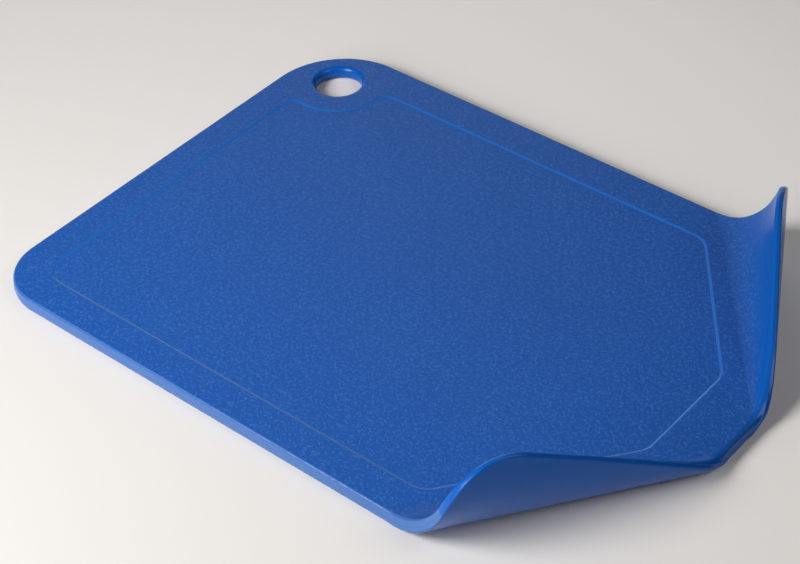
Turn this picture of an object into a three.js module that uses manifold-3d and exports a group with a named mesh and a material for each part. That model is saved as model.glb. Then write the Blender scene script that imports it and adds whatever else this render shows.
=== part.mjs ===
// A plastic cutting board, moulded in one piece: a flat deck with a hanging hole in one corner,
// a shallow sunk cutting field, and two corners that curl up into wings on either side of a pouring edge.
//
// Millimetres, +Z up. X runs from the hole end (-) to the pouring edge (+), the hanging hole is on the +Y
// side, and the origin is in the middle of the deck's underside.
import * as THREE from "three";
import { mergeVertices } from "three/addons/utils/BufferGeometryUtils.js";
import Module from "manifold-3d";

// Deck
const BOARD_LENGTH = 330; // from the hole end to the pouring edge
const BOARD_WIDTH = 241; // between the two long sides
const DECK_THICKNESS = 7.1;
const EDGE_ROUND = 1.2; // rounding of every outer edge and of the hole's edges
const PLAIN_CORNER_RADIUS = 27.5; // the corner of the hole end without the hole
const HOLE_CORNER_RADIUS = 40.5; // the corner beside the hanging hole

// Hanging hole
const HOLE_DIAMETER = 23.5;
const HOLE_FROM_END = 27.6; // hole centre to the hole end
const HOLE_FROM_SIDE = 26.5; // hole centre to the nearer long side

// Sunk cutting field, set in from the edges by a border on each side
const FIELD_DEPTH = 0.5;
const BORDER_HOLE_END = 17.4;
const BORDER_HOLE_SIDE = 19.9;
const BORDER_PLAIN_SIDE = 16.8;
const BORDER_POURING = 25.8;
const BORDER_CURL_SIDE = 6.2; // from the start of each curl to the field, at the long side
const BORDER_CURL_POURING = 8.6; // from the start of each curl to the field, at the pouring edge
const BORDER_HOLE = 13; // round the edge of the hanging hole
const FIELD_CORNER_RADIUS = 13;
const FIELD_TURN_RADIUS = 6; // where the field's edge turns to go round the hole

// Wings: each curl starts along a straight line from a long side to an end of the pouring edge, and turns
// up in a tight lower stage and a wider upper one, after which the wall goes straight
const POURING_WIDTH = 20.5; // flat edge between the two wings
const WING_RUN = 91.1; // from the pouring edge back to where the curl starts on the long side
const APEX_BEYOND = 18; // from the pouring edge to where the curl's radius would shrink to nothing
const LOWER_CURL_RADIUS = 20; // inner radius of the lower stage at the long side
const LOWER_CURL_ANGLE = THREE.MathUtils.degToRad(45); // how far the lower stage turns
const UPPER_CURL_RADIUS = 46; // inner radius of the upper stage at the long side
const UPPER_CURL_ANGLE = THREE.MathUtils.degToRad(60); // how far the upper stage turns
const RIM_ANGLE = THREE.MathUtils.degToRad(28.9); // between the start of the curl and the wing's upper rim
const WING_TIP_RADIUS = 26;
const RIM_THICKNESS = 3.7; // the wall thins from the deck to this as it turns up

// How finely the round shapes are divided
const ARC_STEPS = 9;
const HOLE_STEPS = 18; // in each half of the hanging hole
const EDGE_ROUND_STEPS = 2;
const CURL_STEPS = 5; // in each stage of a curl

// Accuracy of the shapes that are searched for, merged or sliced
const SIDE_SAMPLES = 200; // places tried along a wing's side when its tip is rounded
const HALVINGS = 40;
const MERGE_DISTANCE = 1e-4;
const ON_PLANE = 1e-3; // a point closer than this to a slicing plane counts as on it

const BOARD_BLUE = "#1c57b0";

const END_X = BOARD_LENGTH / 2;
const SIDE_Y = BOARD_WIDTH / 2;
const HOLE_CENTRE = new THREE.Vector2(HOLE_FROM_END - END_X, SIDE_Y - HOLE_FROM_SIDE);

// Each stage of the curl of the wing on the +Y side is part of a cone. Both cones have their apex beyond the
// pouring edge, so their radii shrink steadily along the line where the curl starts. The other wing is the
// mirror image.
const curl = (() => {
  const sideStart = new THREE.Vector2(END_X - WING_RUN, SIDE_Y);
  const pouringStart = new THREE.Vector2(END_X, POURING_WIDTH / 2);
  const along = sideStart.clone().sub(pouringStart).normalize();
  const out = new THREE.Vector2(along.y, -along.x);
  const length = sideStart.distanceTo(pouringStart);
  const apex = pouringStart.clone().addScaledVector(along, -APEX_BEYOND);
  const stage = (radius, turn) => {
    const halfAngle = Math.atan(radius / (length + APEX_BEYOND));
    return { halfAngle, fan: turn * Math.sin(halfAngle) }; // the part of the flat fan that rolls round the cone
  };
  const lower = stage(LOWER_CURL_RADIUS, LOWER_CURL_ANGLE);
  const upper = stage(UPPER_CURL_RADIUS, UPPER_CURL_ANGLE);
  return { sideStart, pouringStart, along, out, apex, lower, upper };
})();

// A place in the flat blank, from a distance and an angle about the cone's apex.
function onFan(distance, angle) {
  return curl.apex
    .clone()
    .addScaledVector(curl.along, distance * Math.cos(angle))
    .addScaledVector(curl.out, distance * Math.sin(angle));
}

// Where a ray of the flat fan goes when the corner is curled up: its direction from the cone's apex,
// the upward normal of the upper face along it, and the wall's thickness there.
function curledRay(angle) {
  const direction = new THREE.Vector3(curl.along.x, curl.along.y, 0);
  const normal = new THREE.Vector3(0, 0, 1);
  let left = angle;
  let turned = 0;
  for (const { halfAngle, fan } of [curl.lower, curl.upper]) {
    const rolled = Math.min(left, fan);
    const turn = rolled / Math.sin(halfAngle);
    const axis = direction.clone().multiplyScalar(Math.cos(halfAngle));
    axis.addScaledVector(normal, Math.sin(halfAngle));
    direction.applyAxisAngle(axis, -turn);
    normal.applyAxisAngle(axis, -turn);
    left -= rolled;
    turned += turn;
  }
  direction.applyAxisAngle(normal, -left);
  const share = turned / (LOWER_CURL_ANGLE + UPPER_CURL_ANGLE);
  return { direction, normal, thickness: THREE.MathUtils.lerp(DECK_THICKNESS, RIM_THICKNESS, share) };
}

// Curls a point of the flat blank up with its corner. Points inside the start of the curl stay in place.
function curlUp(place) {
  const side = place.y < 0 ? -1 : 1;
  const flat = new THREE.Vector2(place.x, place.y * side).sub(curl.apex);
  const outside = flat.dot(curl.out);
  if (outside <= 0) return place.clone();
  const { direction, normal, thickness } = curledRay(Math.atan2(outside, flat.dot(curl.along)));
  const depth = (1 - place.z / DECK_THICKNESS) * thickness;
  const curled = new THREE.Vector3(curl.apex.x, curl.apex.y, DECK_THICKNESS)
    .addScaledVector(direction, flat.length())
    .addScaledVector(normal, -depth);
  curled.y *= side;
  return curled;
}

// The place on a ray of the flat fan that comes to lie in the plane of the long side when it is curled up.
function onSide(angle) {
  const { direction } = curledRay(angle);
  return onFan((SIDE_Y - curl.apex.y) / direction.y, angle);
}

// Points of an arc that goes the short way from one angle to another.
function arc(centre, radius, from, to) {
  const sweep = THREE.MathUtils.euclideanModulo(to - from + Math.PI, 2 * Math.PI) - Math.PI;
  return Array.from({ length: ARC_STEPS + 1 }, (_, i) => {
    const angle = from + (sweep * i) / ARC_STEPS;
    return new THREE.Vector2(Math.cos(angle), Math.sin(angle)).multiplyScalar(radius).add(centre);
  });
}

// The angle at which one place is seen from another.
function bearing(from, to) {
  return to.clone().sub(from).angle();
}

// The wing's edge in the flat blank, from the long side round the tip and along the rim to the pouring edge.
// The tip is a disc that rolls up along the rim's straight line until it touches the side.
function wingEdge() {
  const rim = onFan(1, RIM_ANGLE).sub(curl.apex);
  const inward = new THREE.Vector2(-rim.y, rim.x);
  const angles = Array.from({ length: SIDE_SAMPLES }, (_, i) => (RIM_ANGLE * i) / SIDE_SAMPLES);
  const sidePlaces = angles.map(onSide);
  const onRim = (reach) => curl.pouringStart.clone().addScaledVector(rim, reach);
  const discAt = (reach) => onRim(reach).addScaledVector(inward, WING_TIP_RADIUS);
  const nearestSide = (centre) => {
    const gaps = sidePlaces.map((place) => place.distanceTo(centre));
    return gaps.indexOf(Math.min(...gaps));
  };
  let free = 0;
  let blocked = curl.sideStart.distanceTo(curl.pouringStart);
  for (let i = 0; i < HALVINGS; i++) {
    const reach = (free + blocked) / 2;
    const centre = discAt(reach);
    const touches = sidePlaces[nearestSide(centre)].distanceTo(centre) < WING_TIP_RADIUS;
    if (touches) blocked = reach;
    else free = reach;
  }
  const centre = discAt(free);
  const touch = nearestSide(centre);
  const side = Array.from({ length: ARC_STEPS }, (_, i) => onSide((angles[touch] * i) / ARC_STEPS));
  const tip = arc(centre, WING_TIP_RADIUS, bearing(centre, sidePlaces[touch]), bearing(centre, onRim(free)));
  return [...side, ...tip, curl.pouringStart.clone()];
}

// The flat blank, before its corners are curled up: the outline and the hole, with rounded edges.
function blank() {
  const wing = wingEdge();
  const plainWing = wing.map((place) => new THREE.Vector2(place.x, -place.y));
  const plainCorner = new THREE.Vector2(PLAIN_CORNER_RADIUS - END_X, PLAIN_CORNER_RADIUS - SIDE_Y);
  const holeCorner = new THREE.Vector2(HOLE_CORNER_RADIUS - END_X, SIDE_Y - HOLE_CORNER_RADIUS);
  const shape = new THREE.Shape([
    ...arc(plainCorner, PLAIN_CORNER_RADIUS, Math.PI, 1.5 * Math.PI),
    ...plainWing,
    ...wing.reverse(),
    ...arc(holeCorner, HOLE_CORNER_RADIUS, 0.5 * Math.PI, Math.PI),
  ]);
  shape.holes.push(new THREE.Path().absarc(HOLE_CENTRE.x, HOLE_CENTRE.y, HOLE_DIAMETER / 2, 0, 2 * Math.PI));
  const geometry = new THREE.ExtrudeGeometry(shape, {
    depth: DECK_THICKNESS - 2 * EDGE_ROUND,
    curveSegments: HOLE_STEPS,
    bevelThickness: EDGE_ROUND,
    bevelSize: EDGE_ROUND,
    bevelOffset: -EDGE_ROUND,
    bevelSegments: EDGE_ROUND_STEPS,
  });
  return geometry.translate(0, 0, EDGE_ROUND);
}

// The rounding of a corner between two straight edges.
function roundedCorner(before, corner, after, radius) {
  const back = before.clone().sub(corner).normalize();
  const ahead = after.clone().sub(corner).normalize();
  const half = Math.acos(back.dot(ahead)) / 2;
  const middle = back.clone().add(ahead).normalize();
  const centre = corner.clone().addScaledVector(middle, radius / Math.sin(half));
  const first = corner.clone().addScaledVector(back, radius / Math.tan(half));
  const last = corner.clone().addScaledVector(ahead, radius / Math.tan(half));
  return arc(centre, radius, bearing(centre, first), bearing(centre, last));
}

// The field's edge round the hanging hole, from its hole side to its hole end: the border's own circle,
// run out into each straight edge by a smaller arc that touches both.
function edgeRoundHole(endX, sideY) {
  const border = HOLE_DIAMETER / 2 + BORDER_HOLE;
  const reach = border + FIELD_TURN_RADIUS;
  const turnY = sideY - FIELD_TURN_RADIUS - HOLE_CENTRE.y;
  const turnX = endX + FIELD_TURN_RADIUS - HOLE_CENTRE.x;
  const sideTurn = new THREE.Vector2(Math.sqrt(reach ** 2 - turnY ** 2), turnY).add(HOLE_CENTRE);
  const endTurn = new THREE.Vector2(turnX, -Math.sqrt(reach ** 2 - turnX ** 2)).add(HOLE_CENTRE);
  return [
    ...arc(sideTurn, FIELD_TURN_RADIUS, 0.5 * Math.PI, bearing(sideTurn, HOLE_CENTRE)),
    ...arc(HOLE_CENTRE, border, bearing(HOLE_CENTRE, sideTurn), bearing(HOLE_CENTRE, endTurn)).slice(1, -1),
    ...arc(endTurn, FIELD_TURN_RADIUS, bearing(endTurn, HOLE_CENTRE), Math.PI),
  ];
}

// The block that is cut away over the cutting field, as high above the deck as the field lies below it.
function fieldCutter() {
  const endX = BORDER_HOLE_END - END_X;
  const pouringX = END_X - BORDER_POURING;
  const plainY = BORDER_PLAIN_SIDE - SIDE_Y;
  const holeY = SIDE_Y - BORDER_HOLE_SIDE;
  const sideLine = curl.sideStart.clone().addScaledVector(curl.out, -BORDER_CURL_SIDE);
  const pouringLine = curl.pouringStart.clone().addScaledVector(curl.out, -BORDER_CURL_POURING);
  const curlX = (y) => sideLine.x + ((y - sideLine.y) * curl.along.x) / curl.along.y;
  const curlY = pouringLine.y + ((pouringX - pouringLine.x) * curl.along.y) / curl.along.x;
  const corners = [
    new THREE.Vector2(endX, plainY),
    new THREE.Vector2(curlX(-plainY), plainY),
    new THREE.Vector2(pouringX, -curlY),
    new THREE.Vector2(pouringX, curlY),
    new THREE.Vector2(curlX(holeY), holeY),
  ];
  const holeCorner = new THREE.Vector2(endX, holeY);
  const outline = corners.flatMap((corner, i) =>
    roundedCorner(corners[i - 1] ?? holeCorner, corner, corners[i + 1] ?? holeCorner, FIELD_CORNER_RADIUS),
  );
  const shape = new THREE.Shape([...outline, ...edgeRoundHole(endX, holeY)]);
  const geometry = new THREE.ExtrudeGeometry(shape, { depth: 2 * FIELD_DEPTH, bevelEnabled: false });
  return geometry.translate(0, 0, DECK_THICKNESS - FIELD_DEPTH);
}

// Points and triangles of a closed geometry, with the points that faces share merged.
function meshOf(geometry) {
  geometry.deleteAttribute("normal");
  geometry.deleteAttribute("uv");
  const merged = mergeVertices(geometry, MERGE_DISTANCE);
  const position = merged.getAttribute("position");
  const points = Array.from({ length: position.count }, (_, i) =>
    new THREE.Vector3().fromBufferAttribute(position, i),
  );
  const faces = Array.from({ length: merged.index.count / 3 }, (_, i) =>
    Array.from(merged.index.array.slice(3 * i, 3 * i + 3)),
  );
  return { points, faces };
}

// Slices a closed mesh along a plane, so that no triangle crosses the plane and the mesh stays closed.
function sliceAlong(mesh, plane) {
  const points = [...mesh.points];
  const heights = points.map((place) => {
    const height = plane.distanceToPoint(place);
    return Math.abs(height) < ON_PLANE ? 0 : height;
  });
  const cuts = new Map();
  const cutBetween = (a, b) => {
    const low = Math.min(a, b);
    const high = Math.max(a, b);
    const edge = `${low} ${high}`;
    if (!cuts.has(edge)) {
      cuts.set(edge, points.length);
      points.push(points[low].clone().lerp(points[high], heights[low] / (heights[low] - heights[high])));
    }
    return cuts.get(edge);
  };
  const faces = mesh.faces.flatMap((face) => {
    const crosses = face.some((corner) => heights[corner] > 0) && face.some((corner) => heights[corner] < 0);
    if (!crosses) return [face];
    const above = [];
    const below = [];
    face.forEach((corner, i) => {
      const next = face[(i + 1) % 3];
      if (heights[corner] >= 0) above.push(corner);
      if (heights[corner] <= 0) below.push(corner);
      if (heights[corner] * heights[next] < 0) {
        const cut = cutBetween(corner, next);
        above.push(cut);
        below.push(cut);
      }
    });
    return [above, below].flatMap((ring) => ring.slice(2).map((last, i) => [ring[0], ring[i + 1], last]));
  });
  return { points, faces };
}

// The blank sliced along the rays of both curls, then curled up.
function curledBoard() {
  const steps = Array.from({ length: CURL_STEPS + 1 }, (_, i) => i / CURL_STEPS);
  const lowerAngles = steps.map((share) => curl.lower.fan * share);
  const upperAngles = steps.slice(1).map((share) => curl.lower.fan + curl.upper.fan * share);
  let mesh = meshOf(blank());
  for (const side of [1, -1]) {
    for (const angle of [...lowerAngles, ...upperAngles]) {
      const ray = onFan(1, angle).sub(curl.apex);
      const normal = new THREE.Vector3(ray.y, -ray.x * side, 0);
      const apex = new THREE.Vector3(curl.apex.x, curl.apex.y * side, 0);
      mesh = sliceAlong(mesh, new THREE.Plane().setFromNormalAndCoplanarPoint(normal, apex));
    }
  }
  return { points: mesh.points.map(curlUp), faces: mesh.faces };
}

const wasm = await Module();
wasm.setup();

// A closed mesh as a solid that can be cut.
function solidOf({ points, faces }) {
  const vertProperties = new Float32Array(points.flatMap((place) => place.toArray()));
  const triVerts = new Uint32Array(faces.flat());
  return new wasm.Manifold(new wasm.Mesh({ numProp: 3, vertProperties, triVerts }));
}

// A solid as geometry for a mesh.
function geometryOf(solid) {
  const { vertProperties, triVerts } = solid.getMesh();
  const geometry = new THREE.BufferGeometry();
  geometry.setAttribute("position", new THREE.BufferAttribute(vertProperties, 3));
  geometry.setIndex(new THREE.BufferAttribute(triVerts, 1));
  geometry.computeVertexNormals();
  return geometry;
}

// The whole board, one moulding with the cutting field sunk into its deck.
const board = new THREE.Mesh(
  geometryOf(solidOf(curledBoard()).subtract(solidOf(meshOf(fieldCutter())))),
  new THREE.MeshStandardMaterial({ color: BOARD_BLUE, roughness: 0.5, metalness: 0 }),
);
board.name = "board";

const cuttingBoard = new THREE.Group();
cuttingBoard.add(board);

export default cuttingBoard;
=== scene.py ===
"""The finished look of a plastic cutting board that is moulded in one piece.

It is a flat deck with a hanging hole, a shallow sunk cutting field, and two corners that curl up into wings
on either side of a pouring edge.

Metres, +Z up. X runs from the hole end (-) to the pouring edge (+), the hanging hole is on the +Y side, and
the origin is in the middle of the deck's underside.
"""

import logging
import math
from dataclasses import dataclass, field
from enum import Enum

import bmesh
import bpy
from mathutils import Matrix, Quaternion, Vector

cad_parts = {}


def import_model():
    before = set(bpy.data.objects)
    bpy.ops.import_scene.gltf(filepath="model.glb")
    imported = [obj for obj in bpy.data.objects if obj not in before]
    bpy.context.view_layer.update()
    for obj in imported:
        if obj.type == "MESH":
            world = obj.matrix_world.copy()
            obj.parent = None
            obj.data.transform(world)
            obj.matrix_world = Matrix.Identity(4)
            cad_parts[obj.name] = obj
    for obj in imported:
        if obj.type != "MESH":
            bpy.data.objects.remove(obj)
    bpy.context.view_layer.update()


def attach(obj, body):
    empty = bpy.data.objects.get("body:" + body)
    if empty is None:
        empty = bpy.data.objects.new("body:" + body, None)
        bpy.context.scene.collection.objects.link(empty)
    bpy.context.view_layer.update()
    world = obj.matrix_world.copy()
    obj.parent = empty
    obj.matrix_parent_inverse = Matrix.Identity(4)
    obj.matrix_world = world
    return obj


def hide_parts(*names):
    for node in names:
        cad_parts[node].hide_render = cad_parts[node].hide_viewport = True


LOG = logging.getLogger("cutting_board")
MM = 0.001
UP = Vector((0.0, 0.0, 1.0))
FULL_TURN = 2.0 * math.pi
QUARTER_TURN = 0.5 * math.pi
SAME_PLACE = 1e-7
LEVEL_SHARE = 0.02
NOISE_MIDDLE = 0.5

Colour = tuple[float, float, float]


class WingSide(Enum):
    """The two curled corners, by the long side that each stands on."""

    HOLE_SIDE = 1.0
    PLAIN_SIDE = -1.0

    def mirror(self, place: Vector) -> Vector:
        """A place on the hole side, carried over to this side."""
        return Vector((place.x, place.y * self.value, place.z))


class Blend(Enum):
    """How two values are joined in a finish."""

    ADD = "ADD"
    SUBTRACT = "SUBTRACT"
    MULTIPLY = "MULTIPLY"
    ABSOLUTE = "ABSOLUTE"


class Pen:
    """Draws a flat outline in a mesh, one stroke after another."""

    def __init__(self, mesh: bmesh.types.BMesh, start: Vector, axis: Vector = UP) -> None:
        """Sets the pen down.

        Args:
            mesh: The mesh to draw in.
            start: Where the outline starts.
            axis: The normal of the plane that is drawn in.
        """
        self.mesh = mesh
        self.axis = axis
        self.start = mesh.verts.new(start)
        self.tip = self.start

    def line_to(self, place: Vector) -> None:
        """Draws a straight stroke to a place."""
        self.tip = bmesh.ops.extrude_vert_indiv(self.mesh, verts=[self.tip])["verts"][0]
        self.tip.co = place

    def arc_to(self, centre: Vector, place: Vector, steps: int) -> None:
        """Draws an arc, the short way round its centre.

        Args:
            centre: The centre of the arc.
            place: A place in the direction in which the arc ends.
            steps: How many straight pieces the arc is made of.
        """
        spoke = self.tip.co - centre
        last_spoke = place - centre
        turn = math.atan2(spoke.cross(last_spoke).dot(self.axis), spoke.dot(last_spoke))
        spun = bmesh.ops.spin(
            self.mesh, geom=[self.tip], cent=centre, axis=self.axis, angle=turn, steps=steps
        )
        self.tip = spun["geom_last"][0]

    def close(self) -> bmesh.types.BMFace:
        """Joins the last stroke to the first with a straight one, and fills the outline."""
        self.mesh.edges.new((self.tip, self.start))
        return self.fill()

    def fill(self) -> bmesh.types.BMFace:
        """Fills the closed outline with one face, turned along the pen's axis."""
        outline = [edge for edge in self.mesh.edges if edge.is_wire]
        face = bmesh.ops.contextual_create(self.mesh, geom=outline)["faces"][0]
        face.normal_update()
        if face.normal.dot(self.axis) < 0.0:
            face.normal_flip()
        return face


@dataclass(frozen=True)
class CurlStage:
    """One stage of a curl: part of a cone about the curl's apex, and the fan of the blank it takes up."""

    half_angle: float
    fan: float


@dataclass
class Curl:
    """The curl that lifts a corner of the flat blank into a wing, on the hole side of the board.

    It turns up in a tight lower stage and a wider upper one. Each is part of a cone whose apex lies beyond
    the pouring edge, so its radius shrinks steadily along the line where the curl starts. Angles in the
    flat blank are measured about that apex, from that line.
    """

    side_start: Vector
    pouring_start: Vector
    apex_beyond: float
    lower_radius: float
    lower_turn: float
    upper_radius: float
    upper_turn: float
    deck_thickness: float
    rim_thickness: float
    along: Vector = field(init=False)
    out: Vector = field(init=False)
    apex: Vector = field(init=False)
    lower: CurlStage = field(init=False)
    upper: CurlStage = field(init=False)

    def __post_init__(self) -> None:
        """Works out both cones from the two ends of the line where the curl starts."""
        run = self.side_start - self.pouring_start
        self.along = run.normalized()
        self.out = Vector((self.along.y, -self.along.x, 0.0))
        self.apex = self.pouring_start - self.along * self.apex_beyond
        reach = run.length + self.apex_beyond
        self.lower = self._stage(self.lower_radius / reach, self.lower_turn)
        self.upper = self._stage(self.upper_radius / reach, self.upper_turn)

    @staticmethod
    def _stage(slope: float, turn: float) -> CurlStage:
        """A stage of the curl, from the slope of its cone's side and how far it turns."""
        half_angle = math.atan(slope)
        return CurlStage(half_angle, turn * math.sin(half_angle))

    @property
    def fan(self) -> float:
        """The angle in the flat blank at which the wall stops turning."""
        return self.lower.fan + self.upper.fan

    def bends(self, steps: int) -> list[float]:
        """The angles in the flat blank along which the curl bends.

        Args:
            steps: How many straight strips each stage is made of.

        Returns:
            The angles, from the start of the curl to its end.
        """
        lower = [self.lower.fan * step / steps for step in range(steps + 1)]
        upper = [self.lower.fan + self.upper.fan * step / steps for step in range(1, steps + 1)]
        return lower + upper

    def heading(self, angle: float) -> Vector:
        """The direction of a ray of the flat blank."""
        return self.along * math.cos(angle) + self.out * math.sin(angle)

    def angle_of(self, place: Vector) -> float:
        """The angle of the ray through a place in the flat blank, which is above 0 only in the curl."""
        reach = place - self.apex
        return math.atan2(reach.dot(self.out), reach.dot(self.along))

    def lifted_ray(self, angle: float) -> tuple[Vector, Vector, float]:
        """Where a ray of the flat blank goes when the corner is curled up.

        Args:
            angle: The ray's angle in the flat blank.

        Returns:
            Its direction from the apex, the normal of the upper face along it, and the wall's thickness.
        """
        direction = self.along.copy()
        normal = UP.copy()
        left = angle
        turned = 0.0
        for stage in (self.lower, self.upper):
            rolled = min(left, stage.fan)
            turn = rolled / math.sin(stage.half_angle)
            axis = direction * math.cos(stage.half_angle) + normal * math.sin(stage.half_angle)
            roll = Quaternion(axis, -turn)
            direction.rotate(roll)
            normal.rotate(roll)
            left -= rolled
            turned += turn
        direction.rotate(Quaternion(normal, -left))
        share = turned / (self.lower_turn + self.upper_turn)
        thickness = self.deck_thickness + (self.rim_thickness - self.deck_thickness) * share
        return direction, normal, thickness

    def lift(self, place: Vector) -> Vector:
        """Curls a place of the flat blank up with its corner, or leaves it if no curl reaches it.

        Args:
            place: A place in the flat blank, at any height in its thickness.

        Returns:
            The same place on the finished board.
        """
        side = WingSide.PLAIN_SIDE if place.y < 0.0 else WingSide.HOLE_SIDE
        plan = Vector((place.x, abs(place.y), 0.0))
        angle = self.angle_of(plan)
        if angle <= 0.0:
            return place.copy()
        direction, normal, thickness = self.lifted_ray(angle)
        depth = (1.0 - place.z / self.deck_thickness) * thickness
        upper_apex = self.apex + UP * self.deck_thickness
        lifted = upper_apex + direction * (plan - self.apex).length - normal * depth
        return side.mirror(lifted)

    def on_side(self, angle: float) -> Vector:
        """The place on a ray of the flat blank that comes to lie in the plane of the long side."""
        direction, _, _ = self.lifted_ray(angle)
        return self.apex + self.heading(angle) * ((self.side_start.y - self.apex.y) / direction.y)


@dataclass
class WingTip:
    """The round tip of a wing in the flat blank: a disc, rolled along the rim until it meets the side."""

    curl: Curl
    rim_angle: float
    radius: float
    samples: int = 400
    halvings: int = 40
    centre: Vector = field(init=False)
    rim_touch: Vector = field(init=False)
    side_touch_angle: float = field(init=False)

    def __post_init__(self) -> None:
        """Rolls the disc along the rim by halving the stretch in which it first meets the side."""
        rim = self.curl.heading(self.rim_angle)
        inward = Vector((-rim.y, rim.x, 0.0))
        angles = [self.rim_angle * step / self.samples for step in range(self.samples)]
        places = [self.curl.on_side(angle) for angle in angles]
        free = 0.0
        blocked = (self.curl.side_start - self.curl.pouring_start).length
        for _ in range(self.halvings):
            reach = 0.5 * (free + blocked)
            centre = self.curl.pouring_start + rim * reach + inward * self.radius
            if min((place - centre).length for place in places) < self.radius:
                blocked = reach
            else:
                free = reach
        self.rim_touch = self.curl.pouring_start + rim * free
        self.centre = self.rim_touch + inward * self.radius
        gaps = [(place - self.centre).length for place in places]
        self.side_touch_angle = angles[gaps.index(min(gaps))]


class NodeBench:
    """A node tree, with short ways to place nodes and to join their sockets."""

    def __init__(self, tree: bpy.types.NodeTree) -> None:
        """Takes a node tree and clears it."""
        self.tree = tree
        tree.nodes.clear()

    def place(self, kind: str, **settings: object) -> bpy.types.Node:
        """Adds a node.

        Args:
            kind: The node's type, without its ShaderNode prefix.
            settings: Values for the node's properties.

        Returns:
            The new node.
        """
        node = self.tree.nodes.new("ShaderNode" + kind)
        for name, value in settings.items():
            setattr(node, name, value)
        return node

    def feed(self, node: bpy.types.Node, **values: object) -> bpy.types.Node:
        """Sets or joins a node's inputs, named with underscores for spaces.

        Args:
            node: The node to feed.
            values: Numbers and colours to set, and output sockets to join.

        Returns:
            The same node.
        """
        for name, value in values.items():
            socket = node.inputs[name.replace("_", " ")]
            if isinstance(value, bpy.types.NodeSocket):
                self.tree.links.new(value, socket)
            else:
                socket.default_value = value
        return node

    def join(self, blend: Blend, first: object, second: object = 0.0) -> bpy.types.NodeSocket:
        """Works out one value from two.

        Args:
            blend: What to do with the values.
            first: The first number or output socket.
            second: The second number or output socket.

        Returns:
            The socket that holds the result.
        """
        node = self.place("Math", operation=blend.value)
        for socket, value in zip(node.inputs, (first, second)):
            if isinstance(value, bpy.types.NodeSocket):
                self.tree.links.new(value, socket)
            else:
                socket.default_value = value
        return node.outputs[0]

    def spread(
        self, value: bpy.types.NodeSocket, source: tuple[float, float], result: tuple[float, float]
    ) -> bpy.types.NodeSocket:
        """Spreads one range of values over another.

        Args:
            value: The socket to read.
            source: The range that is read.
            result: The range that it is spread over.

        Returns:
            The socket that holds the result.
        """
        node = self.feed(self.place("MapRange"), Value=value)
        self.feed(node, From_Min=source[0], From_Max=source[1])
        self.feed(node, To_Min=result[0], To_Max=result[1])
        return node.outputs[0]

    def mix(self, share: bpy.types.NodeSocket, first: object, second: object) -> bpy.types.NodeSocket:
        """Mixes two colours.

        Args:
            share: The socket that says how much of the second colour is taken, from 0 to 1.
            first: The first colour or output socket.
            second: The second colour or output socket.

        Returns:
            The socket that holds the mixed colour.
        """
        node = self.place("Mix", data_type="RGBA")
        colours = [socket for socket in node.inputs if socket.type == "RGBA"]
        self.tree.links.new(share, node.inputs["Factor"])
        for socket, value in zip(colours, (first, second)):
            if isinstance(value, bpy.types.NodeSocket):
                self.tree.links.new(value, socket)
            else:
                socket.default_value = (*value, 1.0)
        return next(socket for socket in node.outputs if socket.type == "RGBA")

    def noise(self, place: bpy.types.NodeSocket, size: float, detail: float) -> bpy.types.NodeSocket:
        """Cloudy values between 0 and 1.

        Args:
            place: The coordinates to read.
            size: The size of one cloud, in metres.
            detail: How many finer layers are added.

        Returns:
            The socket that holds the values.
        """
        node = self.feed(self.place("TexNoise"), Vector=place, Scale=1.0 / size, Detail=detail)
        return node.outputs["Fac"]


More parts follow.
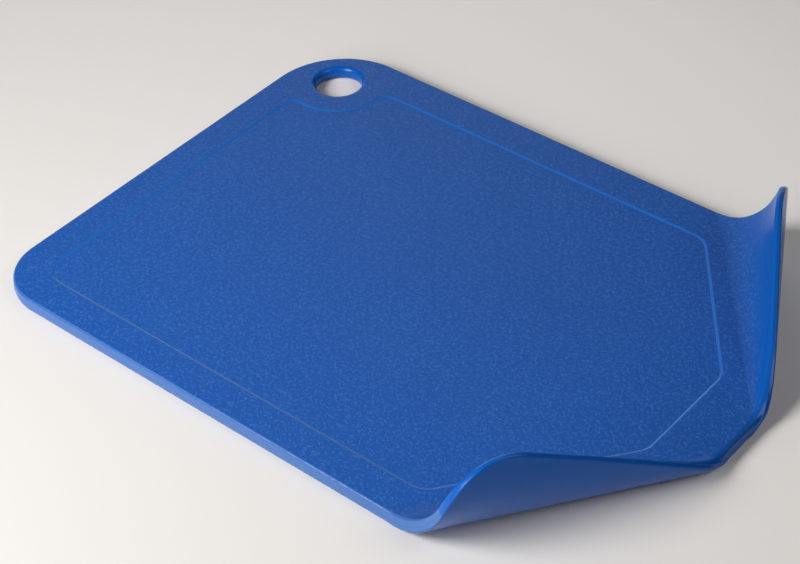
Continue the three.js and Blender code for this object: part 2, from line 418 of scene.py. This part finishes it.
@dataclass(frozen=True)
class GrainedPlastic:
    """Blue moulded plastic.

    It has a grain of short pale strokes where the grain attribute asks for it; their pale colour is partly
    a painted glint on the grain's ridges. The side walls are paler with a painted sheen, and the step round
    the cutting field with a painted highlight.
    """

    name: str = "blue_plastic"
    colour: Colour = (0.0035, 0.0880, 0.395)
    # Painted sheen: a paler, greyer blue on the side walls, standing in for the bright surroundings they
    # reflect.
    side_sheen_colour: Colour = (0.0480, 0.1280, 0.350)
    # Painted highlight: a paler blue on the step round the cutting field.
    line_highlight_colour: Colour = (0.0160, 0.1220, 0.470)
    valley_colour: Colour = (0.0075, 0.0790, 0.358)
    # The strokes are real grain, but their pale colour is partly a painted glint on its ridges.
    glint_stroke_colour: Colour = (0.0260, 0.1330, 0.470)
    stroke_spacing: float = 1.1 * MM
    stroke_edges: tuple[float, float] = (0.03, 0.11)
    stroke_wander: float = 1.2 * MM
    wander_size: float = 4.0 * MM
    gap_size: float = 1.7 * MM
    gap_edges: tuple[float, float] = (0.44, 0.60)
    grain_depth: float = 0.12 * MM
    grit_size: float = 1.0 * MM
    grit_share: float = 0.5
    cloud_size: float = 60.0 * MM
    cloud_edges: tuple[float, float] = (0.3, 0.7)
    cloud_strength: float = 0.05
    smooth_roughness: float = 0.24
    grained_roughness: float = 0.40
    refraction: float = 1.32
    grain_attribute: str = "grain"
    side_sheen_attribute: str = "side_wall_sheen"
    line_highlight_attribute: str = "field_line"

    def material(self) -> bpy.types.Material:
        """Makes the finish.

        Returns:
            The new material.
        """
        material = bpy.data.materials.new(self.name)
        material.use_nodes = True
        bench = NodeBench(material.node_tree)
        place = bench.place("TexCoord").outputs["Object"]
        grained = bench.place("Attribute", attribute_name=self.grain_attribute).outputs["Fac"]
        strokes = self._strokes(bench, place)
        grit = bench.join(Blend.MULTIPLY, bench.noise(place, self.grit_size, detail=1.0), self.grit_share)
        height = bench.join(Blend.MULTIPLY, bench.join(Blend.ADD, strokes, grit), grained)
        bump = bench.feed(bench.place("Bump"), Strength=1.0, Distance=self.grain_depth, Height=height)
        clouds = bench.noise(place, self.cloud_size, detail=2.0)
        drift = bench.spread(clouds, self.cloud_edges, (-self.cloud_strength, self.cloud_strength))
        # The strokes' pale colour is partly a painted glint on the grain's ridges; a random cloudy tone is
        # added to it.
        glint_and_tone = bench.join(Blend.ADD, strokes, drift)
        grain_and_glint_colour = bench.mix(glint_and_tone, self.valley_colour, self.glint_stroke_colour)
        # The side walls get a painted sheen and the field's step a painted highlight, both as paler
        # colours.
        on_side = bench.place("Attribute", attribute_name=self.side_sheen_attribute).outputs["Fac"]
        on_line_highlight = bench.place("Attribute", attribute_name=self.line_highlight_attribute).outputs["Fac"]
        sheen_or_plain = bench.mix(on_side, self.colour, self.side_sheen_colour)
        sheen_and_highlight_colour = bench.mix(on_line_highlight, sheen_or_plain, self.line_highlight_colour)
        shader = bench.feed(
            bench.place("BsdfPrincipled"),
            Base_Color=bench.mix(grained, sheen_and_highlight_colour, grain_and_glint_colour),
            Roughness=bench.spread(grained, (0.0, 1.0), (self.smooth_roughness, self.grained_roughness)),
            IOR=self.refraction,
            Normal=bump.outputs["Normal"],
        )
        bench.feed(bench.place("OutputMaterial"), Surface=shader.outputs["BSDF"])
        return material

    def _strokes(self, bench: NodeBench, place: bpy.types.NodeSocket) -> bpy.types.NodeSocket:
        """Winding lines, broken into short strokes.

        Args:
            bench: The material's nodes.
            place: The coordinates to read.

        Returns:
            The socket that is 1 on a stroke and 0 between strokes.
        """
        wander = bench.feed(bench.place("TexNoise"), Vector=place, Scale=1.0 / self.wander_size, Detail=1.0)
        centred = bench.place("VectorMath", operation="SUBTRACT")
        bench.tree.links.new(wander.outputs["Color"], centred.inputs[0])
        centred.inputs[1].default_value = (NOISE_MIDDLE,) * 3
        shifted = bench.place("VectorMath", operation="MULTIPLY_ADD")
        bench.tree.links.new(centred.outputs[0], shifted.inputs[0])
        shifted.inputs[1].default_value = (self.stroke_wander,) * 3
        bench.tree.links.new(place, shifted.inputs[2])
        clouds = bench.noise(shifted.outputs[0], self.stroke_spacing, detail=0.0)
        off_middle = bench.join(Blend.ABSOLUTE, bench.join(Blend.SUBTRACT, clouds, NOISE_MIDDLE))
        lines = bench.spread(off_middle, self.stroke_edges, (1.0, 0.0))
        gaps = bench.spread(bench.noise(place, self.gap_size, detail=1.0), self.gap_edges, (0.0, 1.0))
        return bench.join(Blend.MULTIPLY, lines, gaps)


@dataclass(frozen=True)
class PaleTable:
    """A plain pale table top that grows a little lighter along one heading, away from the softboxes:
    painted light that evens out their fall-off on the table.
    """

    name: str = "pale_table"
    colour: Colour = (0.635, 0.622, 0.608)
    # Painted light: the table is mixed towards this lighter colour away from the softboxes.
    painted_light_colour: Colour = (0.995, 0.965, 0.940)
    heading: float = math.radians(80.0)
    half_run: float = 240.0 * MM
    roughness: float = 0.55

    def material(self) -> bpy.types.Material:
        """Makes the finish.

        Returns:
            The new material.
        """
        material = bpy.data.materials.new(self.name)
        material.use_nodes = True
        bench = NodeBench(material.node_tree)
        reach = bench.place("VectorMath", operation="DOT_PRODUCT")
        bench.tree.links.new(bench.place("TexCoord").outputs["Object"], reach.inputs[0])
        reach.inputs[1].default_value = (math.cos(self.heading), math.sin(self.heading), 0.0)
        # Share of the painted light, rising along the heading.
        share = bench.spread(reach.outputs["Value"], (-self.half_run, self.half_run), (0.0, 1.0))
        shader = bench.feed(
            bench.place("BsdfPrincipled"),
            Base_Color=bench.mix(share, self.colour, self.painted_light_colour),
            Roughness=self.roughness,
        )
        bench.feed(bench.place("OutputMaterial"), Surface=shader.outputs["BSDF"])
        return material


@dataclass
class CuttingBoard:
    """The whole board. It is modelled flat, sliced along the rays of its two curls, and then curled up."""

    length: float = 330.0 * MM
    width: float = 241.0 * MM
    thickness: float = 7.1 * MM
    edge_round: float = 1.2 * MM
    rim_round: float = 2.4 * MM
    pouring_round: float = 2.6 * MM
    pouring_corner_run: float = 5.0 * MM
    fold_ease: float = 2.6 * MM
    fold_ease_run: float = 40.0 * MM
    fold_ease_steps: int = 12
    plain_corner_radius: float = 27.5 * MM
    hole_corner_radius: float = 40.5 * MM

    witness_height: float = 3.0 * MM
    witness_ridge: float = 0.12 * MM
    witness_half_width: float = 0.28 * MM
    wall_draft: float = 0.15 * MM

    hole_diameter: float = 23.5 * MM
    hole_from_end: float = 27.6 * MM
    hole_from_side: float = 26.5 * MM
    hole_round: float = 2.6 * MM
    hole_smooth_share: float = 0.9

    field_depth: float = 0.5 * MM
    field_step_width: float = 1.6 * MM
    border_hole_end: float = 17.4 * MM
    border_hole_side: float = 19.9 * MM
    border_plain_side: float = 16.8 * MM
    border_pouring: float = 25.8 * MM
    border_curl_side: float = 6.2 * MM
    border_curl_pouring: float = 8.6 * MM
    border_hole: float = 13.0 * MM
    field_corner_radius: float = 13.0 * MM
    field_turn_radius: float = 6.0 * MM

    pouring_width: float = 20.5 * MM
    wing_run: float = 91.1 * MM
    apex_beyond: float = 18.0 * MM
    lower_curl_radius: float = 20.0 * MM
    lower_curl_turn: float = math.radians(45.0)
    upper_curl_radius: float = 46.0 * MM
    upper_curl_turn: float = math.radians(60.0)
    rim_angle: float = math.radians(28.9)
    wing_tip_radius: float = 26.0 * MM
    rim_thickness: float = 3.7 * MM

    grain_fade_start: float = 0.26
    grain_fade_end: float = 0.52

    arc_steps: int = 32
    hole_steps: int = 96
    round_steps: int = 5
    step_steps: int = 6
    curl_steps: int = 24

    finish: GrainedPlastic = field(default_factory=GrainedPlastic)
    curl: Curl = field(init=False)
    wing_tip: WingTip = field(init=False)

    def __post_init__(self) -> None:
        """Works out the curl and the wing's tip from the board's sizes."""
        self.curl = Curl(
            side_start=Vector((self.end_x - self.wing_run, self.side_y, 0.0)),
            pouring_start=Vector((self.end_x, 0.5 * self.pouring_width, 0.0)),
            apex_beyond=self.apex_beyond,
            lower_radius=self.lower_curl_radius,
            lower_turn=self.lower_curl_turn,
            upper_radius=self.upper_curl_radius,
            upper_turn=self.upper_curl_turn,
            deck_thickness=self.thickness,
            rim_thickness=self.rim_thickness,
        )
        self.wing_tip = WingTip(self.curl, self.rim_angle, self.wing_tip_radius)

    @property
    def end_x(self) -> float:
        """How far the pouring edge lies from the middle."""
        return 0.5 * self.length

    @property
    def side_y(self) -> float:
        """How far a long side lies from the middle."""
        return 0.5 * self.width

    @property
    def hole_centre(self) -> Vector:
        """The hanging hole's centre, at the underside."""
        return Vector((self.hole_from_end - self.end_x, self.side_y - self.hole_from_side, 0.0))

    def build(self) -> bpy.types.Object:
        """Models the board and dresses it.

        Returns:
            The board's object.
        """
        mesh = bmesh.new()
        self._add_edge(mesh)
        self._add_hole_wall(mesh)
        self._add_field(mesh)
        self._fill_flats(mesh)
        bmesh.ops.recalc_face_normals(mesh, faces=mesh.faces)
        self._slice_curls(mesh)
        self._mark_grain(mesh)
        self._mark_side_sheen(mesh)
        self._mark_field_highlight(mesh)
        for vertex in mesh.verts:
            vertex.co = self._lift_softly(vertex.co)
        data = bpy.data.meshes.new("board_moulding")
        mesh.to_mesh(data)
        mesh.free()
        data.shade_smooth()
        data.materials.append(self.finish.material())
        board = bpy.data.objects.new("board_moulding", data)
        bpy.context.scene.collection.objects.link(board)
        normals = board.modifiers.new("flat_faces_lead", "WEIGHTED_NORMAL")
        normals.mode = "FACE_AREA"
        normals.keep_sharp = True
        return board

    def _add_edge(self, mesh: bmesh.types.BMesh) -> None:
        """Draws the blank's outline at the witness line and builds the outer wall up and down from it."""
        pen = Pen(mesh, self._at(-self.end_x, self.plain_corner_radius - self.side_y))
        plain = self.plain_corner_radius
        plain_centre = self._at(plain - self.end_x, plain - self.side_y)
        pen.arc_to(plain_centre, plain_centre - self._at(0.0, plain), self.arc_steps)
        self._draw_wings(pen)
        rounded = self.hole_corner_radius
        rounded_centre = self._at(rounded - self.end_x, self.side_y - rounded)
        pen.line_to(rounded_centre + self._at(0.0, rounded))
        pen.arc_to(rounded_centre, rounded_centre - self._at(rounded, 0.0), self.arc_steps)
        lower = pen.close()
        bmesh.ops.translate(mesh, verts=lower.verts, vec=UP * self.witness_height)
        lower.normal_flip()
        upper = lower.copy(verts=False, edges=False)
        upper.normal_flip()
        self._raise_wall(mesh, upper, self.thickness - self.witness_height)
        self._widen_rounding(mesh)
        self._raise_wall(mesh, lower, self.witness_height)
        bmesh.ops.delete(mesh, geom=[upper, lower], context="FACES_ONLY")

    def _draw_wings(self, pen: Pen) -> None:
        """Draws the edges of both wings and the pouring edge between them."""
        tip = self.wing_tip
        side_angles = [tip.side_touch_angle * step / self.arc_steps for step in range(self.arc_steps + 1)]
        plain = WingSide.PLAIN_SIDE
        for angle in side_angles:
            pen.line_to(plain.mirror(self.curl.on_side(angle)))
        pen.arc_to(plain.mirror(tip.centre), plain.mirror(tip.rim_touch), self.arc_steps)
        on_rim, corner_centre, on_pouring = self._pouring_corner()
        pen.line_to(plain.mirror(on_rim))
        pen.arc_to(plain.mirror(corner_centre), plain.mirror(on_pouring), self.round_steps)
        pen.line_to(on_pouring)
        pen.arc_to(corner_centre, on_rim, self.round_steps)
        pen.line_to(tip.rim_touch)
        pen.arc_to(tip.centre, self.curl.on_side(tip.side_touch_angle), self.arc_steps)
        for angle in reversed(side_angles[:-1]):
            pen.line_to(self.curl.on_side(angle))

    def _pouring_corner(self) -> tuple[Vector, Vector, Vector]:
        """The soft corner between a wing's rim and the pouring edge, on the hole's side.

        Returns:
            Where its arc leaves the rim, the arc's centre, and where the arc meets the pouring edge.
        """
        corner = self.curl.pouring_start
        run = self.pouring_corner_run
        along_rim = (self.wing_tip.rim_touch - corner).normalized()
        along_pouring = self._at(0.0, -1.0)
        half_angle = 0.5 * along_rim.angle(along_pouring)
        centre_way = (along_rim + along_pouring).normalized()
        centre = corner + centre_way * (run / math.cos(half_angle))
        return corner + along_rim * run, centre, corner + along_pouring * run

    def _raise_wall(self, mesh: bmesh.types.BMesh, face: bmesh.types.BMFace, height: float) -> None:
        """Raises half of the outer wall: past the witness ridge, up the drafted side and round the edge.

        Args:
            mesh: The board's mesh.
            face: The flat face to raise.
            height: How far the face goes, along its own normal.
        """
        profile = []
        for step in range(1, self.round_steps + 1):
            share = step / self.round_steps
            dip = 0.5 * self.witness_ridge * (1.0 - math.cos(math.pi * share))
            profile.append((dip, self.witness_half_width * share))
        profile.append((self.witness_ridge + self.wall_draft, height - self.edge_round))
        for step in range(1, self.round_steps + 1):
            angle = QUARTER_TURN * step / self.round_steps
            inward = self.witness_ridge + self.wall_draft + self.edge_round * (1.0 - math.cos(angle))
            profile.append((inward, height - self.edge_round * (1.0 - math.sin(angle))))
        self._inset_along(mesh, face, profile)

    def _widen_rounding(self, mesh: bmesh.types.BMesh) -> None:
        """Widens the upper rounding from the wings' tips along their rims, and most at the pouring edge."""
        level = self.thickness - self.edge_round
        starts = [vertex for vertex in mesh.verts if abs(vertex.co.z - level) < SAME_PLACE]
        for start in starts:
            column = [start]
            for _ in range(self.round_steps):
                neighbours = [edge.other_vert(column[-1]) for edge in column[-1].link_edges]
                column.append(max(neighbours, key=lambda vertex: vertex.co.z))
            foot = start.co.copy()
            inward = (column[-1].co - foot) / self.edge_round
            radius = self._rounding_at(foot.x)
            for step, vertex in enumerate(column):
                angle = QUARTER_TURN * step / self.round_steps
                place = foot + inward * (radius * (1.0 - math.cos(angle)))
                place.z = self.thickness - radius * (1.0 - math.sin(angle))
                vertex.co = place

    def _rounding_at(self, x: float) -> float:
        """The radius of the upper rounding where the outline passes a place along the board."""
        tip_x = self.curl.on_side(self.wing_tip.side_touch_angle).x
        rim_x = self.wing_tip.rim_touch.x
        tip_share = min(max((x - tip_x) / (rim_x - tip_x), 0.0), 1.0)
        pouring_share = min(max((x - rim_x) / (self.end_x - rim_x), 0.0), 1.0)
        on_tip = (self.rim_round - self.edge_round) * tip_share
        on_rim = (self.pouring_round - self.rim_round) * pouring_share
        return self.edge_round + on_tip + on_rim

    def _inset_along(
        self, mesh: bmesh.types.BMesh, face: bmesh.types.BMFace, profile: list[tuple[float, float]]
    ) -> None:
        """Insets a flat face again and again, so that its rim follows a profile.

        Args:
            mesh: The board's mesh.
            face: The face, which ends as the flat inside the profile.
            profile: How far in and how far up each step lies from the start.
        """
        last_inward, last_height = 0.0, 0.0
        for inward, height in profile:
            mesh.normal_update()
            bmesh.ops.inset_region(
                mesh,
                faces=[face],
                thickness=inward - last_inward,
                depth=height - last_height,
                use_boundary=True,
                use_even_offset=True,
            )
            last_inward, last_height = inward, height

    def _add_hole_wall(self, mesh: bmesh.types.BMesh) -> None:
        """Draws the section of the hanging hole's wall and spins it round the hole."""
        radius = 0.5 * self.hole_diameter
        known = set(mesh.verts)
        ahead = Vector((1.0, 0.0, 0.0))
        across = Vector((0.0, 1.0, 0.0))
        rim = self.hole_centre + ahead * (radius + self.hole_round)
        wall = self.hole_centre + ahead * radius
        lower_round = UP * self.hole_round
        upper_round = UP * (self.thickness - self.hole_round)
        pen = Pen(mesh, rim + UP * self.thickness, axis=across)
        pen.arc_to(rim + upper_round, wall + upper_round, self.round_steps)
        pen.line_to(wall + lower_round)
        pen.arc_to(rim + lower_round, rim, self.round_steps)
        section = [vertex for vertex in mesh.verts if vertex not in known]
        strokes = [edge for edge in mesh.edges if edge.is_wire]
        bmesh.ops.spin(
            mesh,
            geom=section + strokes,
            cent=self.hole_centre,
            axis=UP,
            angle=FULL_TURN,
            steps=self.hole_steps,
            use_merge=True,
        )

    def _add_field(self, mesh: bmesh.types.BMesh) -> None:
        """Draws the cutting field's outline on the deck and sinks the field in a soft step."""
        deck = UP * self.thickness
        end_x = self.border_hole_end - self.end_x
        pouring_x = self.end_x - self.border_pouring
        plain_y = self.border_plain_side - self.side_y
        hole_y = self.side_y - self.border_hole_side
        curl = self.curl
        side_line = curl.side_start - curl.out * self.border_curl_side
        pouring_line = curl.pouring_start - curl.out * self.border_curl_pouring
        slope = curl.along.x / curl.along.y
        curl_y = pouring_line.y + (pouring_x - pouring_line.x) / slope
        corners = [
            self._at(end_x, hole_y),
            self._at(end_x, plain_y),
            self._at(side_line.x + (-plain_y - side_line.y) * slope, plain_y),
            self._at(pouring_x, -curl_y),
            self._at(pouring_x, curl_y),
            self._at(side_line.x + (hole_y - side_line.y) * slope, hole_y),
            self._at(end_x, hole_y),
        ]
        border = 0.5 * self.hole_diameter + self.border_hole
        reach = border + self.field_turn_radius
        turn_x = end_x + self.field_turn_radius - self.hole_centre.x
        turn_y = hole_y - self.field_turn_radius - self.hole_centre.y
        end_turn = self.hole_centre + self._at(turn_x, -math.sqrt(reach**2 - turn_x**2))
        side_turn = self.hole_centre + self._at(math.sqrt(reach**2 - turn_y**2), turn_y)
        pen = Pen(mesh, deck + end_turn - self._at(self.field_turn_radius, 0.0))
        for before, corner, after in zip(corners, corners[1:], corners[2:]):
            self._draw_corner(pen, before + deck, corner + deck, after + deck)
        pen.line_to(deck + side_turn + self._at(0.0, self.field_turn_radius))
        pen.arc_to(deck + side_turn, deck + self.hole_centre, self.arc_steps)
        pen.arc_to(deck + self.hole_centre, deck + end_turn, self.arc_steps)
        pen.arc_to(deck + end_turn, deck + end_turn - self._at(self.field_turn_radius, 0.0), self.arc_steps)
        bmesh.ops.pointmerge(mesh, verts=[pen.start, pen.tip], merge_co=pen.start.co)
        face = pen.fill()
        profile = []
        for step in range(1, self.step_steps + 1):
            share = step / self.step_steps
            dip = 0.5 * self.field_depth * (1.0 - math.cos(math.pi * share))
            profile.append((self.field_step_width * share, -dip))
        self._inset_along(mesh, face, profile)

    def _draw_corner(self, pen: Pen, before: Vector, corner: Vector, after: Vector) -> None:
        """Draws a straight edge of the field up to a corner, and the corner's rounding.

        Args:
            pen: The pen that draws the field.
            before: The corner before this one.
            corner: The corner itself.
            after: The corner after it.
        """
        back = (before - corner).normalized()
        ahead = (after - corner).normalized()
        half = 0.5 * back.angle(ahead)
        run = self.field_corner_radius / math.tan(half)
        centre = corner + (back + ahead).normalized() * (self.field_corner_radius / math.sin(half))
        pen.line_to(corner + back * run)
        pen.arc_to(centre, corner + ahead * run, self.arc_steps)

    def _fill_flats(self, mesh: bmesh.types.BMesh) -> None:
        """Fills the flat border of the deck and the underside, between the open rims that lie on them."""
        rims = [edge for edge in mesh.edges if edge.is_boundary]
        middle = 0.5 * self.thickness
        upper = [edge for edge in rims if edge.verts[0].co.z > middle]
        lower = [edge for edge in rims if edge.verts[0].co.z < middle]
        for edges, normal in ((upper, UP), (lower, -UP)):
            bmesh.ops.triangle_fill(mesh, edges=edges, normal=normal, use_beauty=True)

    def _slice_curls(self, mesh: bmesh.types.BMesh) -> None:
        """Slices the flat blank along the rays of both curls, so that they can bend."""
        for side in WingSide:
            for angle in self.curl.bends(self.curl_steps):
                ray = side.mirror(self.curl.heading(angle))
                bmesh.ops.bisect_plane(
                    mesh,
                    geom=mesh.verts[:] + mesh.edges[:] + mesh.faces[:],
                    dist=SAME_PLACE,
                    plane_co=side.mirror(self.curl.apex),
                    plane_no=ray.cross(UP),
                )

    def _mark_grain(self, mesh: bmesh.types.BMesh) -> None:
        """Marks where the deck is grained: on its two flat levels, fading as the wings turn up."""
        layer = mesh.verts.layers.float.new(self.finish.grain_attribute)
        levels = (self.thickness, self.thickness - self.field_depth)
        near = LEVEL_SHARE * self.field_depth
        fade = self.grain_fade_end - self.grain_fade_start
        hole_reach = 0.5 * self.hole_diameter + self.hole_smooth_share * self.hole_round
        for vertex in mesh.verts:
            turned = self.curl.angle_of(self._folded_plan(vertex.co)) / self.curl.fan
            share = min(max((self.grain_fade_end - turned) / fade, 0.0), 1.0)
            on_top = any(abs(vertex.co.z - level) < near for level in levels)
            vertex[layer] = share if on_top and self._from_hole(vertex.co) > hole_reach else 0.0

    def _mark_side_sheen(self, mesh: bmesh.types.BMesh) -> None:
        """Marks the outer wall as far as the wings' tips, where a painted sheen makes the plastic paler."""
        layer = mesh.verts.layers.float.new(self.finish.side_sheen_attribute)
        bottom = 0.5 * self.edge_round
        top = self.thickness - LEVEL_SHARE * self.edge_round
        tip_x = self.curl.on_side(self.wing_tip.side_touch_angle).x
        for vertex in mesh.verts:
            on_wall = bottom < vertex.co.z < top and vertex.co.x < tip_x
            off_hole = self._from_hole(vertex.co) >= self.hole_diameter
            vertex[layer] = 1.0 if on_wall and off_hole else 0.0

    def _mark_field_highlight(self, mesh: bmesh.types.BMesh) -> None:
        """Marks the polished step round the cutting field, between limits halfway across its border, where
        a painted highlight makes it paler.
        """
        layer = mesh.verts.layers.float.new(self.finish.line_highlight_attribute)
        near = LEVEL_SHARE * self.field_depth
        low = self.thickness - self.field_depth + near
        high = self.thickness - near
        left = 0.5 * self.border_hole_end - self.end_x
        right = self.end_x - 0.5 * self.border_pouring
        front = 0.5 * self.border_plain_side - self.side_y
        back = self.side_y - 0.5 * self.border_hole_side
        hole_reach = 0.5 * (self.hole_diameter + self.border_hole)
        for vertex in mesh.verts:
            place = vertex.co
            flat = self.curl.angle_of(self._folded_plan(place)) <= 0.0
            inside = left < place.x < right and front < place.y < back
            on_step = low < place.z < high and self._from_hole(place) > hole_reach
            vertex[layer] = 1.0 if on_step and flat and inside else 0.0

    def _lift_softly(self, place: Vector) -> Vector:
        """Curls a place up with its corner, and eases the fold near the pouring edge, where it is tightest.

        Args:
            place: A place in the flat blank, at any height in its thickness.

        Returns:
            The same place on the finished board: the mean of a small ring of lifted places round it.
        """
        gap = (self._folded_plan(place) - self.curl.pouring_start).length
        reach = self.fold_ease * max(1.0 - gap / self.fold_ease_run, 0.0)
        total = Vector()
        for step in range(self.fold_ease_steps):
            angle = FULL_TURN * step / self.fold_ease_steps
            total += self.curl.lift(place + self._at(reach * math.cos(angle), reach * math.sin(angle)))
        return total / self.fold_ease_steps

    def _from_hole(self, place: Vector) -> float:
        """How far a place lies from the hanging hole's centre, in plan."""
        return (self._at(place.x, place.y) - self.hole_centre).length

    def _folded_plan(self, place: Vector) -> Vector:
        """A place in plan, carried over to the hole side."""
        return self._at(place.x, abs(place.y))

    @staticmethod
    def _at(x: float, y: float) -> Vector:
        """A place in plan."""
        return Vector((x, y, 0.0))


@dataclass(frozen=True)
class SoftLamp:
    """An oval softbox that is aimed at the board, placed by its heading and its rise over the table."""

    name: str
    heading: float
    rise: float
    distance: float
    width: float
    height: float
    power: float
    colour: Colour = (1.0, 0.985, 0.965)


@dataclass
class Studio:
    """The table, the soft light and the camera."""

    table_size: float = 8.0
    table_drop: float = 0.1 * MM
    table_finish: PaleTable = field(default_factory=PaleTable)

    target: Vector = field(default_factory=lambda: Vector((-16.217, -2.263, 0.0)) * MM)
    camera_distance: float = 938.755 * MM
    view_heading: float = math.radians(131.858)
    view_drop: float = math.radians(40.54)
    camera_roll: float = math.radians(3.044)
    lens: float = 92.04
    sensor_width: float = 36.0

    lamps: tuple[SoftLamp, ...] = (
        SoftLamp(
            name="main_softbox",
            heading=math.radians(248.0),
            rise=math.radians(38.0),
            distance=0.85,
            width=0.38,
            height=0.38,
            power=7.8,
        ),
        SoftLamp(
            name="low_softbox",
            heading=math.radians(265.0),
            rise=math.radians(18.0),
            distance=0.85,
            width=0.35,
            height=0.35,
            power=2.5,
        ),
        SoftLamp(
            name="right_fill",
            heading=math.radians(15.0),
            rise=math.radians(46.0),
            distance=1.5,
            width=0.70,
            height=0.70,
            power=4.5,
        ),
        SoftLamp(
            name="back_fill",
            heading=math.radians(132.0),
            rise=math.radians(40.0),
            distance=1.5,
            width=0.70,
            height=0.70,
            power=1.1,
        ),
        SoftLamp(
            name="backdrop",
            heading=math.radians(134.0),
            rise=math.radians(12.0),
            distance=1.5,
            width=1.70,
            height=0.40,
            power=3.0,
            colour=(0.78, 0.89, 1.0),
        ),
    )
    sky_colour: Colour = (0.98, 0.985, 1.0)
    sky_strength: float = 0.01

    def build(self) -> None:
        """Sets the table, the light and the camera up."""
        self._add_table()
        for lamp in self.lamps:
            self._hang(lamp)
        self._add_sky()
        self._add_camera()
        bpy.context.scene.view_settings.view_transform = "Standard"

    def _add_table(self) -> None:
        """Lays the table just under the board."""
        mesh = bmesh.new()
        bmesh.ops.create_grid(mesh, x_segments=1, y_segments=1, size=0.5 * self.table_size)
        bmesh.ops.translate(mesh, verts=mesh.verts, vec=UP * -self.table_drop)
        data = bpy.data.meshes.new("table_top")
        mesh.to_mesh(data)
        mesh.free()
        data.materials.append(self.table_finish.material())
        table = bpy.data.objects.new("table_top", data)
        bpy.context.scene.collection.objects.link(table)

    def _hang(self, lamp: SoftLamp) -> None:
        """Hangs a soft lamp and turns it to the board."""
        light = bpy.data.lights.new(lamp.name, "AREA")
        light.shape = "ELLIPSE"
        light.size = lamp.width
        light.size_y = lamp.height
        light.energy = lamp.power
        light.color = lamp.colour
        hung = bpy.data.objects.new(lamp.name, light)
        bpy.context.scene.collection.objects.link(hung)
        heading = self._direction(lamp.heading, lamp.rise)
        hung.location = self.target + heading * lamp.distance
        hung.rotation_euler = heading.to_track_quat("Z", "Y").to_euler()

    def _add_sky(self) -> None:
        """Fills the room with even light."""
        world = bpy.data.worlds.new("even_room")
        world.use_nodes = True
        bench = NodeBench(world.node_tree)
        sky = bench.place("Background")
        bench.feed(sky, Color=(*self.sky_colour, 1.0), Strength=self.sky_strength)
        bench.feed(bench.place("OutputWorld"), Surface=sky.outputs["Background"])
        bpy.context.scene.world = world

    def _add_camera(self) -> None:
        """Stands the camera where the board is seen as in the photograph."""
        lens = bpy.data.cameras.new("camera")
        lens.lens = self.lens
        lens.sensor_width = self.sensor_width
        lens.sensor_fit = "HORIZONTAL"
        camera = bpy.data.objects.new("camera", lens)
        bpy.context.scene.collection.objects.link(camera)
        forward = self._direction(self.view_heading, -self.view_drop)
        level = forward.cross(UP).normalized()
        below = forward.cross(level)
        right = level * math.cos(self.camera_roll) + below * math.sin(self.camera_roll)
        above = level * math.sin(self.camera_roll) - below * math.cos(self.camera_roll)
        turn = Matrix((right, above, -forward)).transposed().to_4x4()
        camera.matrix_world = Matrix.Translation(self.target - forward * self.camera_distance) @ turn
        bpy.context.scene.camera = camera

    @staticmethod
    def _direction(heading: float, rise: float) -> Vector:
        """The direction with a heading about the vertical and a rise over the table."""
        level = math.cos(rise)
        return Vector((level * math.cos(heading), level * math.sin(heading), math.sin(rise)))


def main() -> None:
    """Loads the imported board, builds its finished form over it and sets the studio up."""
    logging.basicConfig(level=logging.INFO, format="%(message)s")
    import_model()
    board = CuttingBoard().build()
    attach(board, "root")
    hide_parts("board")
    LOG.info("%s: %d faces", board.name, len(board.data.polygons))
    Studio().build()
    LOG.info("studio: table, lamps, sky and camera")


if __name__ == "__main__":
    main()
